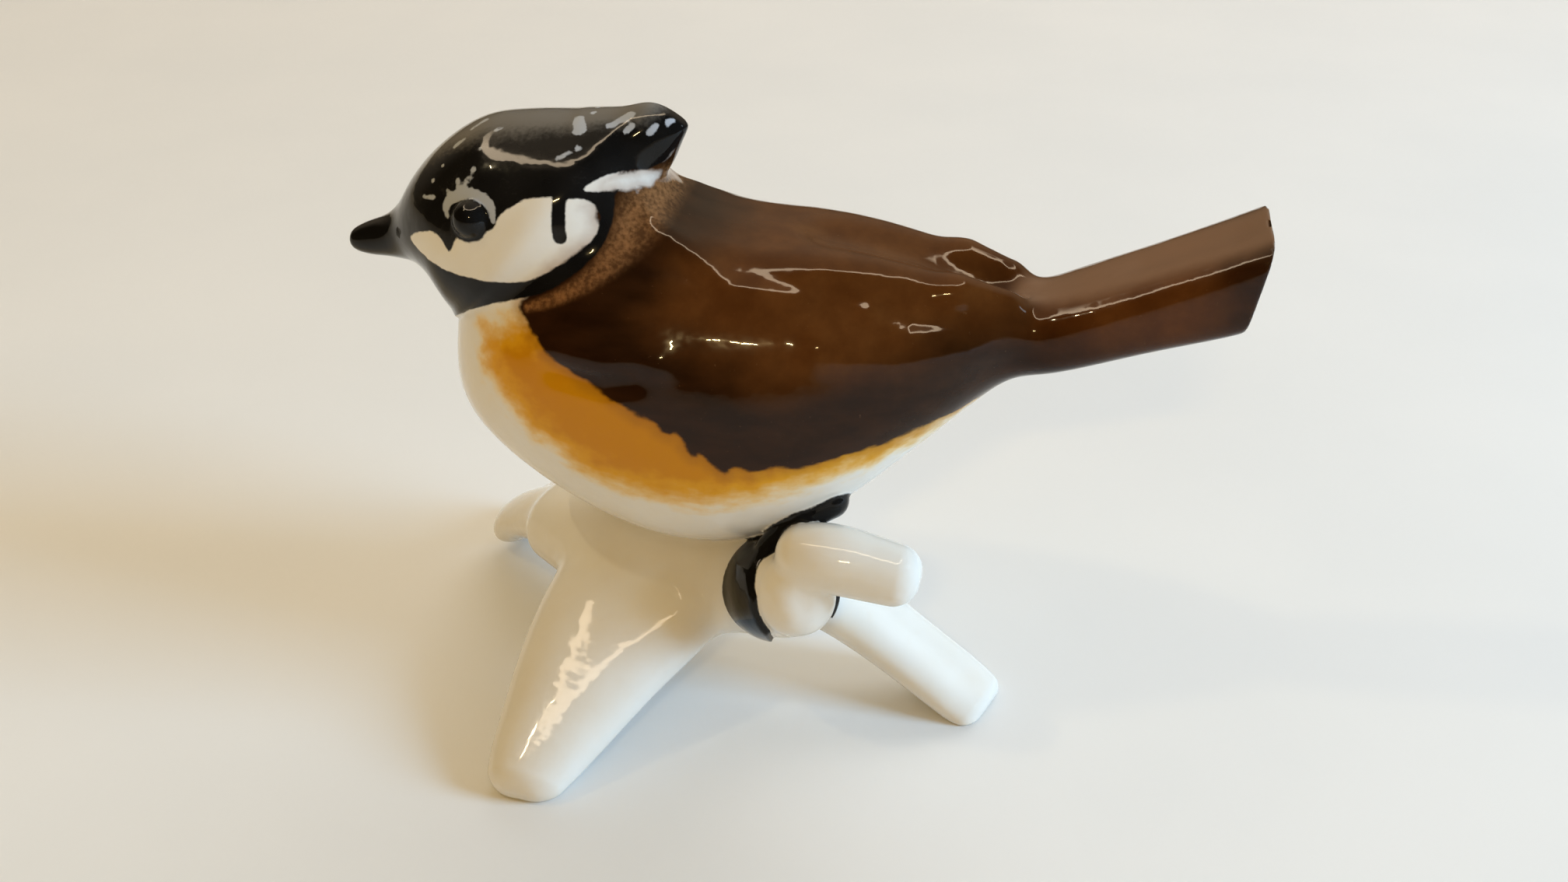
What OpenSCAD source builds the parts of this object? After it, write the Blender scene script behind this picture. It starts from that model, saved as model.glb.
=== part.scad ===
// Porcelain figurine of a crested songbird perched on a three-legged branch.
// The figure is built the way a pottery builds it: from separate slip castings and
// pressed pieces that are luted together with slip before the glaze firing.
// Frame: +Z up, beak towards -X, tail towards +X, table top at Z = 0.

/* [Body] */
// Height of the belly's lowest point above the table
belly_z = 22; // [20:0.5:24]
// Half width of the torso at its widest section
body_half_w = 20.5; // [18:0.5:22]
// Half width of the neck joint, where the head is luted on
neck_half_w = 13.9; // [12:0.1:15]
// Wall thickness of the hollow slip castings
wall = 3; // [2.4:0.1:3.6]

/* [Head] */
// Half width of the head across the cheeks
head_half_w = 13; // [11:0.1:14]
// Radius of the glazed eye beads
eye_r = 2.6; // [2.4:0.1:3.2]
// Height of the crest's hump above the table
crest_top_z = 82.7; // [82:0.1:85]

/* [Wings and tail] */
// Thickness of each wing relief at its middle
wing_t = 1.8; // [1.2:0.1:2.4]
// Half width of the tail at its tip
tail_half_w = 8.8; // [8:0.2:10]
// Thickness of the tail slab
tail_t = 8; // [7:0.2:9]

/* [Branch] */
// Half width of the trunk
trunk_half_w = 11; // [10:0.5:12]
// Radius of the twig that points along the tail
twig_r = 4.5; // [4:0.1:5.4]
// Radius of the stub that the left foot grips
stub_r = 7; // [6.4:0.1:7.6]
// Radius of the vent that lets the kiln air out of the hollow castings
vent_r = 1.5; // [1:0.1:2]
// Thickness of the toes around the branch
toe_t = 1.1; // [0.8:0.1:1.6]

/* [Hidden] */
RING = 32;          // points around each loft ring
STEPS = 3;          // rings between two key sections

// ---- Sections: [back x, back z, belly x, belly z, half width], from the beak to the tail ----
beak_root = [-53, 67, -52.8, 59.2, 4.2];
neck = [-17.5, 73.2, -45.7, 51.9, neck_half_w];
tail_root = [30, 60.8, 28.4, 49.3, 7.4];
beak_sections = [
    [-60.9, 61.6, -60.9, 60.8, 0.4],
    [-60.4, 62.5, -60.2, 59.8, 1.4],
    [-57.8, 63.9, -57.8, 59.2, 2.4],
    [-55.4, 65, -55.4, 59.1, 3.1],
    beak_root
];
head_sections = [
    beak_root,
    [-50.8, 70.7, -50.3, 58.8, 0.52 * head_half_w],
    [-47.1, 74.8, -48.1, 57.5, 0.73 * head_half_w],
    [-41.8, 78.4, -46.9, 55.9, 0.9 * head_half_w],
    [-35, 80, -46.3, 54.4, head_half_w],
    [-28, 80.5, -45.9, 53.3, 1.05 * head_half_w],
    [-22, 78.6, -45.7, 52.5, 1.08 * head_half_w],
    neck
];
torso_sections = [
    neck,
    [-14.5, 70.1, -45.8, 43.7, 0.83 * body_half_w],
    [-10.5, 68.6, -40.9, belly_z + 13.5, 0.95 * body_half_w],
    [-4, 67.8, -30.1, belly_z + 5.4, body_half_w],
    [2, 67.5, -15, belly_z, 0.99 * body_half_w],
    [10, 66.6, 1.5, belly_z + 3.6, 0.88 * body_half_w],
    [19, 64.4, 15, belly_z + 14.6, 0.67 * body_half_w],
    [25, 62.4, 22.8, belly_z + 22.4, 0.49 * body_half_w],
    tail_root
];
tail_sections = [
    tail_root,
    [36, 62.3, 34.2, 51.5, 0.94 * tail_half_w],
    [46, 66.5, 44, 63.1 - tail_t, 0.97 * tail_half_w],
    [55, 70.5, 52.4, 66.1 - tail_t, tail_half_w],
    [58, 71.8, 55.4, 67.4 - tail_t, 0.98 * tail_half_w],
    [59, 71.6, 56.6, 68.8 - tail_t, 0.88 * tail_half_w]
];
crest_sections = [
    [-27, 80, -22, 71, 5.6],
    [-22, crest_top_z - 1, -18.6, 72.4, 4.6],
    [-18.2, crest_top_z - 0.3, -16.1, 74.4, 3.3],
    [-15.1, crest_top_z - 1.6, -14.7, 77.3, 1.9],
    [-13.7, crest_top_z - 2.6, -13.7, 79.3, 0.7]
];

// ---- Wing relief: rings of the torso from the shoulder to the rump, and points down its side ----
wing_rings = [3, 24];
wing_points = [2, 10];

// ---- Limbs of the branch: [centre x, y, z, half width, half thickness] along each one ----
trunk_sections = [
    [-41, 12, 14, 3, 3],
    [-39, 11, 14, 0.8 * trunk_half_w, 5.4],
    [-33, 7.5, 14.6, trunk_half_w, 7.4],
    [-20, 1, belly_z - 6.6, 1.05 * trunk_half_w, 8.6],
    [-8, -3.4, belly_z - 6, 0.95 * trunk_half_w, 8],
    [3, -4.6, 16, 0.75 * trunk_half_w, 6.4],
    [8, -5, 15.6, 2.6, 2.4]
];
trunk_cavity = [
    [-33, 7.5, 14.2, 5.4, 3],
    [-26, 4, 14.4, 7.4, 4.2],
    [-16, -0.4, 14.8, 7.6, 4.6],
    [-8, -3.4, 15, 6.2, 4],
    [-2, -4.4, 15.4, 3.6, 2.6]
];
front_root_sections = [
    [-18.4, -4, 15, 13.8, 6.4],
    [-21.6, -12, 12.8, 12.9, 6],
    [-24.8, -20, 9.4, 10.8, 5.4],
    [-27.5, -28, 5.4, 8.4, 4.8],
    [-29.2, -34.6, 2.2, 6.6, 4],
    [-30, -39.5, -0.4, 3.4, 2.3]
];
right_root_sections = [
    [1, -2, 15, 6.6, 4.8],
    [9, -3.4, 11.3, 6.4, 3.9],
    [17, -5.2, 6.7, 6.2, 3.3],
    [24, -7, 2.5, 6.2, 2.9],
    [29, -8.6, -0.4, 4.4, 2]
];
back_root_sections = [
    [-30, 7, 14.6, 9, 6],
    [-36, 12, 12.2, 9.4, 5.4],
    [-43, 18, 7.6, 9.2, 5],
    [-48, 22, 3, 8, 4.2],
    [-51, 24.4, -0.6, 4.6, 2.4]
];
stub_sections = [
    [-3, -4, 16.5, 1.1 * stub_r, 1.05 * stub_r],
    [-1, -9, 18.4, 1.06 * stub_r, stub_r],
    [1.1, -14, 20.9, 0.99 * stub_r, 0.97 * stub_r],
    [3.2, -18.4, 23.2, 0.78 * stub_r, 0.82 * stub_r],
    [4.4, -21.2, 24.6, 0.62 * stub_r, 0.66 * stub_r],
    [4.9, -22.8, 25.2, 0.28 * stub_r, 0.3 * stub_r]
];
twig_sections = [
    [2, -17.4, 28.2, 0.9 * twig_r, 0.9 * twig_r],
    [7, -17.8, 28.8, 1.02 * twig_r, twig_r],
    [13, -18.2, 28.2, 0.98 * twig_r, 0.94 * twig_r],
    [17.6, -18.5, 27.5, 0.84 * twig_r, 0.82 * twig_r],
    [19.6, -18.6, 27.2, 0.36 * twig_r, 0.36 * twig_r]
];

// ---- Feet: [angle round the branch, distance from its axis, place along the axis,
// half thickness, half width] from the front toe's end to the back one's, or to the leg ----
left_grip = [[0.9, -14.4, 21], [0.30, -0.84, 0.45]];
left_foot_sections = [
    [254, stub_r - 0.8, 1.2, 0.6 * toe_t, 1],
    [240, stub_r - 0.8, 1.2, 1.5 * toe_t, 3],
    [200, stub_r - 0.9, 1.5, 1.8 * toe_t, 4],
    [150, stub_r - 0.9, 1.2, 1.8 * toe_t, 3.6],
    [112, stub_r - 0.5, 1.6, 1.7 * toe_t, 2.8],
    [92, stub_r + 1, 3, 2, 2.4],
    [76, stub_r + 3.4, 4.2, 2.2, 2.4],
    [66, stub_r + 5.2, 4.8, 2.5, 2.5],
    [59, stub_r + 6.6, 5.1, 2.1, 2.2],
    [56, stub_r + 7.2, 5.1, 1.1, 1.3]
];
right_grip = [[-5, -3.8, 15.6], [0.95, -0.3, 0]];
right_foot_sections = [
    [66, 10.8, 0, 1.4, 1.8],
    [50, 10.6, 0, 2, 2.4],
    [20, 10.4, 0, 1.8 * toe_t, 2.6],
    [-15, 10, 0, 1.8 * toe_t, 2.2],
    [-40, 9.2, 0, toe_t, 1.2]
];

EYE = [-39, 11.4, 70.2];        // centre of the right eye bead
VENT = [-14, 0];                // the vent's place under the trunk and the belly
MIDDLE = [-0.95, -6.02];        // middle of the figure's footprint in the sections' frame

// ---- Maths ----
function unit(v) = v / norm(v);
function power(v, n) = sign(v) * pow(abs(v), 2 / n);
function flip(list) = [for (i = [len(list) - 1 : -1 : 0]) list[i]];
// Catmull-Rom curve through rows of numbers
function spline(a, b, c, d, t) =
    0.5 * (2 * b + (c - a) * t + (2 * a - 5 * b + 4 * c - d) * t * t + (3 * b - a - 3 * c + d) * t * t * t);
function smooth(keys, steps = STEPS) = concat(
    [for (i = [0 : len(keys) - 2], k = [0 : steps - 1])
        spline(keys[max(i - 1, 0)], keys[i], keys[i + 1], keys[min(i + 2, len(keys) - 1)], k / steps)],
    [keys[len(keys) - 1]]);

// Ring of a bird section, superelliptic with exponent n
function bird_ring(s, n = 2.1) =
    let (mid = [s[0] + s[2], 0, s[1] + s[3]] / 2, up = [s[0] - s[2], 0, s[1] - s[3]] / 2)
    [for (i = [0 : RING - 1]) let (a = 360 * i / RING)
        mid + up * power(cos(a), n) - [0, s[4] * power(sin(a), n), 0]];
// A section drawn in by the wall thickness, and the sections of a casting's cavity
function inset(s, d = wall) =
    let (along = unit([s[0] - s[2], s[1] - s[3]]) * d)
    [s[0] - along[0], s[1] - along[1], s[2] + along[0], s[3] + along[1], s[4] - d];
function cavity(keys, from, to) = [for (i = [from : to]) inset(keys[i])];
// Ring of a limb section, square to the limb's direction
function limb_ring(s, dir, n = 2.2) =
    let (side = unit(cross([0, 0, 1], dir)), up = unit(cross(dir, side)))
    [for (i = [0 : RING - 1]) let (a = 360 * i / RING)
        [s[0], s[1], s[2]] + side * s[3] * power(cos(a), n) + up * s[4] * power(sin(a), n)];
function limb_dir(list, i) =
    let (a = list[max(i - 1, 0)], b = list[min(i + 1, len(list) - 1)])
    unit([b[0] - a[0], b[1] - a[1], b[2] - a[2]]);
function limb_rings(keys) =
    let (s = smooth(keys))
    [for (i = [0 : len(s) - 1]) limb_ring(s[i], limb_dir(s, i))];
function bird_rings(keys, n = 2.1) = [for (s = smooth(keys)) bird_ring(s, n)];

// Solid through a list of rings, closed by flat caps
module loft(rings) {
    n = len(rings[0]);
    last = len(rings) - 1;
    polyhedron(
        points = [for (r = rings) each r],
        faces = concat(
            [[for (i = [0 : n - 1]) i]],
            [for (k = [0 : last - 1], i = [0 : n - 1])
                let (j = (i + 1) % n, a = k * n, b = a + n)
                    each [[a + i, b + i, b + j], [a + i, b + j, a + j]]],
            [[for (i = [n - 1 : -1 : 0]) last * n + i]]),
        convexity = 6);
}

// ---- Bird ----
// Outer skin of the head and torso castings as one solid
module bird_skin() {
    torso_rings = bird_rings(torso_sections);
    loft(concat(bird_rings(head_sections), [for (i = [1 : len(torso_rings) - 1]) torso_rings[i]]));
}
module vent() translate([VENT[0], VENT[1], 0]) cylinder(h = belly_z + 2 * wall, r = vent_r, $fn = 32);
module torso_shell() color([0.93, 0.66, 0.33]) difference() {
    loft(concat(flip(bird_rings(cavity(torso_sections, 0, 6))), bird_rings(torso_sections)));
    vent();
}
module head_shell() color([0.10, 0.10, 0.10])
    loft(concat(bird_rings(head_sections), flip(bird_rings(cavity(head_sections, 2, 7)))));
module beak() color([0.06, 0.06, 0.06]) loft(bird_rings(beak_sections));
module crest() color([0.10, 0.10, 0.10]) difference() {
    loft(bird_rings(crest_sections));
    bird_skin();
}
module tail() color([0.30, 0.17, 0.10]) loft(bird_rings(tail_sections, 2.1));
module eye_bead(side) color([0.02, 0.02, 0.02]) difference() {
    translate([EYE[0], side * EYE[1], EYE[2]]) sphere(r = eye_r, $fn = 48);
    loft(bird_rings(head_sections));
}

// Whether a point of a patch of rows by cells lies inside its rim
function inside(p, rows, cells) = p[0] > 0 && p[0] < rows && p[1] > 0 && p[1] < cells;
// Triangles of a patch whose inner points start at a number of their own
function patch_faces(rows, cells, start, turned) =
    [for (k = [0 : rows - 1], i = [0 : cells - 1])
        let (a = [k, i], b = [k, i + 1], c = [k + 1, i + 1], d = [k + 1, i])
        for (t = [[a, b, c], [a, c, d]])
            if (inside(t[0], rows, cells) || inside(t[1], rows, cells) || inside(t[2], rows, cells))
                [for (p = turned ? flip(t) : t)
                    p[0] * (cells + 1) + p[1] + (inside(p, rows, cells) ? start : 0)]];
// Relief laid on the torso's own skin, highest along its middle and feathered out at its rim
module wing(side) color([0.25, 0.13, 0.08]) {
    rings = bird_rings(torso_sections);
    rows = wing_rings[1] - wing_rings[0];
    cells = wing_points[1] - wing_points[0];
    first = side < 0 ? wing_points[0] : RING - wing_points[1];
    skin = [for (k = [0 : rows], i = [0 : cells]) rings[wing_rings[0] + k][first + i]];
    rise = [for (k = [0 : rows], i = [0 : cells])
        wing_t * sqrt(sin(180 * k / rows) * sin(180 * i / cells)) * unit([0, side, 0.35])];
    polyhedron(
        points = concat(skin, skin + rise),
        faces = concat(patch_faces(rows, cells, 0, false), patch_faces(rows, cells, len(skin), true)),
        convexity = 6);
}
// Toes and leg as one band that curls round the branch
module foot(grip, sections) {
    side = unit(cross([0, 0, 1], grip[1]));
    up = unit(cross(grip[1], side));
    along = unit(grip[1]);
    loft([for (s = smooth(sections)) [for (i = [0 : RING - 1])
        let (a = 360 * i / RING, out = side * cos(s[0]) + up * sin(s[0]))
        grip[0] + out * (s[1] + s[3] * power(cos(a), 2.6)) + along * (s[2] + s[4] * power(sin(a), 2.6))]]);
}

// ---- Branch ----
module limb(sections) loft(limb_rings(sections));
module root(sections) color([0.95, 0.93, 0.89]) intersection() {
    difference() {
        limb(sections);
        limb(trunk_sections);
    }
    translate([-80, -60, 0]) cube([160, 120, 60]);
}
module trunk_shell() color([0.95, 0.93, 0.89]) difference() {
    limb(trunk_sections);
    limb(trunk_cavity);
    bird_skin();
    vent();
}
module grip_stub() color([0.95, 0.93, 0.89]) difference() {
    limb(stub_sections);
    limb(trunk_sections);
    limb(right_root_sections);
    bird_skin();
}
module twig() color([0.95, 0.93, 0.89]) difference() {
    limb(twig_sections);
    limb(stub_sections);
}
module left_foot() color([0.07, 0.07, 0.07]) difference() {
    foot(left_grip, left_foot_sections);
    limb(stub_sections);
    limb(trunk_sections);
    limb(twig_sections);
    limb(right_root_sections);
    bird_skin();
}
module right_foot() color([0.07, 0.07, 0.07]) difference() {
    foot(right_grip, right_foot_sections);
    limb(trunk_sections);
    limb(right_root_sections);
    bird_skin();
}

// Moves the sections' frame to the middle of the figure's footprint
module placed() translate([-MIDDLE[0], -MIDDLE[1], 0]) children();

placed() torso_shell();
placed() head_shell();
placed() crest();
placed() beak();
placed() eye_bead(-1);  // left_eye
placed() eye_bead(1);  // right_eye
placed() wing(-1);  // left_wing
placed() wing(1);  // right_wing
placed() tail();
placed() left_foot();
placed() right_foot();
placed() trunk_shell();
placed() root(front_root_sections);  // front_root
placed() root(right_root_sections);  // right_root
placed() root(back_root_sections);  // back_root
placed() grip_stub();
placed() twig();
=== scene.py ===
import math
import bpy
import numpy as np
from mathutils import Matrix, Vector


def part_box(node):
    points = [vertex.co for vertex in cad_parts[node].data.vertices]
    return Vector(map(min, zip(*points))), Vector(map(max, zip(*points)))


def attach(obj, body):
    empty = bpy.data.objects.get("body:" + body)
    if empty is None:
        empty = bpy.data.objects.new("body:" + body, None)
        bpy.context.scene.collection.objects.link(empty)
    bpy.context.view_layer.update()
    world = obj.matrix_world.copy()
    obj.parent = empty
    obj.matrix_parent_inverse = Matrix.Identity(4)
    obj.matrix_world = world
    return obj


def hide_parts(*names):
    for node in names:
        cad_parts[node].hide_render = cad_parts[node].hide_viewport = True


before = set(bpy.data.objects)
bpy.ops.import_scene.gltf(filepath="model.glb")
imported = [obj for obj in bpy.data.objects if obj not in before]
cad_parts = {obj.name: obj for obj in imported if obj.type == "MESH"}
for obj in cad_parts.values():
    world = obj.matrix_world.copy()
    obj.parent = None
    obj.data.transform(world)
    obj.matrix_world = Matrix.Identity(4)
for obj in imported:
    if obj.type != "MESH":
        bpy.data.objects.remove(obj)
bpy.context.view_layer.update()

MM = 0.001

# ==== Shape: the glazed skin as one signed distance, in mm ====
# The beak points towards -X, the tail towards +X, the bird's left side faces -Y, the table is Z = 0
# and the bird's middle plane is Y = 0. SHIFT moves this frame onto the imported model.

SPACING = 0.45          # distance between the points of the skin's mesh
PROBE = 0.05            # half the cube that the slope of the distance is measured over
FILLET = 1.3            # width of the glaze's fillet where the belly sits on the branch
ROUNDNESS = 2.15        # exponent of the limbs' sections, 2 for an ellipse
SNAP = 0.2              # share of an edge within which a cut moves to the edge's end

# Sections of the bird: [back x, back z, belly x, belly z, half width, roundness exponent]
BIRD = [
    [-60.9, 62.0, -60.9, 60.4, 0.9, 2.0],
    [-60.0, 62.8, -59.9, 59.6, 1.7, 2.0],
    [-57.8, 63.9, -57.8, 59.2, 2.4, 2.0],
    [-55.4, 65.0, -55.4, 59.2, 3.1, 2.0],
    [-53.0, 67.4, -52.8, 59.1, 4.4, 2.0],
    [-50.8, 70.8, -50.3, 58.8, 6.7, 2.0],
    [-47.1, 74.8, -48.1, 57.5, 9.4, 2.05],
    [-41.8, 77.6, -46.9, 55.9, 11.7, 2.1],
    [-35.0, 78.9, -46.3, 54.4, 13.0, 2.1],
    [-28.0, 79.4, -45.9, 53.3, 13.65, 2.1],
    [-22.0, 78.3, -45.7, 52.5, 14.0, 2.1],
    [-17.5, 73.2, -45.7, 51.8, 13.9, 2.1],
    [-14.5, 70.1, -45.8, 43.7, 17.0, 2.1],
    [-10.5, 68.6, -40.9, 35.5, 19.5, 2.1],
    [-4.0, 67.7, -30.1, 27.4, 20.5, 2.1],
    [2.0, 67.5, -15.0, 22.0, 20.3, 2.1],
    [10.0, 66.6, 1.5, 25.6, 18.0, 2.1],
    [19.0, 64.5, 15.0, 36.6, 13.7, 2.15],
    [25.0, 62.4, 22.8, 44.4, 10.0, 2.3],
    [30.0, 60.8, 28.4, 49.3, 7.4, 2.6],
    [36.0, 62.3, 34.2, 51.5, 8.2, 3.0],
    [46.0, 66.5, 44.0, 55.1, 8.5, 3.4],
    [55.0, 70.5, 52.4, 58.1, 8.7, 4.0],
    [58.7, 72.2, 56.4, 59.7, 8.6, 4.6],
]
BEAK_ROOT, NECK, TAIL_ROOT = 4, 11, 19
CREST = [
    [-27.0, 80.4, -22.0, 71.0, 5.6, 2.0],
    [-22.0, 81.7, -18.6, 72.4, 4.6, 2.0],
    [-18.2, 82.4, -16.1, 74.4, 3.3, 2.0],
    [-15.1, 81.1, -14.7, 77.3, 1.9, 2.0],
    [-13.7, 80.1, -13.7, 79.3, 0.7, 2.0],
]
EYE, EYE_R = (-39.0, 11.7, 70.2), 2.45

# Limbs of the branch: [centre x, y, z, half width, half thickness], and the radius of their ends' edges
LIMBS = {
    "trunk_shell": ([
        [-37, 11.5, 13.4, 9.5, 5.6], [-29.5, 6.3, 14.9, 11.1, 7.6], [-20, 1, 15.4, 11.55, 8.6],
        [-8, -3.4, 16, 10.45, 8], [3, -4.6, 16, 8.25, 6.4]], 4.0),
    "front_root": ([
        [-18.4, -4, 15, 13.8, 6.4], [-21.6, -12, 12.8, 12.9, 6], [-24.8, -20, 9.4, 10.8, 5.4],
        [-27.5, -28, 5.4, 8.2, 4.8], [-29.3, -34.6, 2.6, 6.1, 3.8], [-30.0, -38.9, 1.0, 4.3, 2.8]], 2.6),
    "right_root": ([
        [1, -2, 15, 6.6, 4.8], [9, -3.4, 11.3, 6.4, 3.9], [17, -5.2, 6.7, 6.2, 3.3],
        [24, -7, 2.5, 6.2, 2.9], [28.9, -8.6, -0.4, 5.5, 2.5]], 2.0),
    "back_root": ([
        [-30, 9, 14.6, 9.5, 6.2], [-36, 14, 12.2, 9.4, 5.2], [-42, 19, 8.6, 8.6, 4.4],
        [-46.5, 22.4, 5.0, 7.8, 3.6], [-49.8, 24, 2.0, 6.6, 2.8]], 2.4),
    "grip_stub": ([
        [-3, -4, 16.5, 7.7, 7.2], [-1, -9, 18.4, 7.4, 7.0], [1.1, -14, 20.9, 6.9, 6.8],
        [3.2, -18.2, 23.1, 5.5, 5.8], [4.9, -22.3, 25.0, 4.5, 4.9]], 3.6),
    "twig": ([
        [1, -17.2, 27.4, 4.2, 4.2], [7, -17.8, 28.8, 4.6, 4.5], [13, -18.2, 28.2, 4.4, 4.2],
        [19.6, -18.6, 27.2, 3.9, 3.8]], 3.2),
}
# Feet: centre and axis of the grip, [angle round it, middle, half width] of the toes, and the leg
FEET = {
    "left_foot": dict(centre=(0.9, -14.4, 21.0), axis=(0.30, -0.84, 0.45),
                      toes=[[0, 0.5, 1.8], [60, 0.4, 1.8], [100, 0.8, 2.6], [140, 1.2, 3.4], [180, 1.5, 4.2],
                            [215, 1.4, 4.0], [240, 1.2, 3.2], [252, 1.0, 0.4], [256, 1.0, -3], [318, 0.8, -3],
                            [324, 0.8, 0.8], [335, 0.6, 1.6], [360, 0.5, 1.8]],
                      leg=[(-0.8, -14.8, 27.6, 1.8), (3.2, -12.9, 31.8, 2.2), (6.7, -11.5, 33.8, 2.5)]),
    "right_foot": dict(centre=(-5, -3.8, 15.6), axis=(0.954, -0.301, 0),
                       toes=[[-44, 0, 0.6], [-30, 0, 1.8], [0, 0, 2.4], [40, 0, 2.4], [72, 0, 1.6]],
                       leg=[(-3.4, 3.4, 24.2, 1.9), (-3.0, 8.0, 28.6, 1.8)]),
}
TOE = 0.75              # thickness of the toes
GRIP = 13               # how far from the grip's centre its toes may be
VENT = (-14.0, 0.0, 1.5, 26)  # kiln vent: x, y, radius and top
# Relief on the bird: points (x, |y|, z) of a stroke, its half width and its height
RELIEF = [
    ([(-14, 9, 69.2), (-4, 9.5, 67.8), (4, 9, 66.8), (12, 7.6, 65.6), (19, 6.6, 64)], 3.4, 0.9),
    ([(22.5, 6.2, 63.0), (25, 5.7, 62.5), (27.5, 5.1, 61.8)], 3.0, 2.2),
    ([(-38, 0, 79.0), (-32, 0, 80.0), (-25, 0, 80.4)], 7.0, 1.7),
    ([(5, 0, 67.4), (11, 0, 66.2), (18, 0, 64.2), (26, 0, 61.6)], 3.3, -2.3),
    ([(19, 0, 64), (25, 0, 61.8)], 1.9, -1.0),
    ([(6, 12.6, 63), (14, 11, 61.4), (22, 8.6, 60)], 2.4, -0.5),
    ([(6, 15.8, 58.0), (15, 13.8, 56.4), (23, 10.6, 56.4), (29, 7.8, 57.4)], 2.6, 0.6),
    ([(-27, 18.8, 53.5), (-21, 20, 52.6), (-17, 20.4, 53.6)], 1.7, -0.7),
    ([(-28, 18.6, 56.4), (-21, 19.6, 55.8), (-14, 20, 56.2)], 2.2, 0.5),
    ([(-18, 7.2, 71.2), (-12, 9.4, 67.6), (-6, 12.6, 64), (4, 12.2, 62.4), (11, 11.4, 61.2)], 1.5, 0.32),
    ([(11, 11.4, 61.2), (16, 12.4, 58.7), (21, 10.6, 58.4), (29, 6.8, 60)], 1.5, 0.32),
    ([(44, 0, 66), (54, 0, 70.4)], 3.4, -0.35),
]

# Shallow troughs along the tops of the roots, with the same rows as the relief
TROUGHS = [
    ([(8, -3.4, 15.4), (16, -5.2, 10.8), (25, -7.2, 5.6)], 3.0, 0.7),
    ([(-37, 15, 17), (-43, 20, 12.6), (-49, 24, 6.6)], 3.2, 1.1),
]


def smooth_min(a, b, k):
    """Smaller of two distances, with a fillet about k wide where they meet."""
    h = np.maximum(k - np.abs(a - b), 0) / k
    return np.minimum(a, b) - h * h * h * k / 6


def smooth_max(a, b, k):
    return -smooth_min(-a, -b, k)


def unit(v):
    return v / np.maximum(np.linalg.norm(v, axis=-1, keepdims=True), 1e-9)


class Curve:
    """Twice differentiable curve through rows of numbers, one unit of s apart."""

    def __init__(self, keys):
        self.k = np.array(keys, float)
        n = len(keys)
        self.last = n - 1
        rows = 4 * np.eye(n) + np.eye(n, k=1) + np.eye(n, k=-1)
        rows[0, 0] = rows[-1, -1] = 2
        ahead = self.k[np.minimum(np.arange(n) + 1, n - 1)]
        behind = self.k[np.maximum(np.arange(n) - 1, 0)]
        self.d = np.linalg.solve(rows, 3 * (ahead - behind))

    def at(self, s):
        i = np.clip(np.floor(s).astype(int), 0, self.last - 1)
        u = (s - i)[..., None]
        a, b, da, db = self.k[i], self.k[i + 1], self.d[i], self.d[i + 1]
        value = (1 + 2 * u) * (1 - u) ** 2 * a + u * (1 - u) ** 2 * da
        value = value + u * u * (3 - 2 * u) * b + u * u * (u - 1) * db
        slope = 6 * u * (u - 1) * (a - b) + (1 - 4 * u + 3 * u * u) * da + (3 * u * u - 2 * u) * db
        return value, slope


def superellipse(a, b, ha, hb, n):
    """Distance from a superellipse of half sizes ha and hb, to first order."""
    ra, rb = np.abs(a) / ha + 1e-6, np.abs(b) / hb + 1e-6
    q = (ra ** n + rb ** n) ** (1 / n)
    steep = np.hypot((ra / q) ** (n - 1) / ha, (rb / q) ** (n - 1) / hb)
    return (q - 1) / steep


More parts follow.
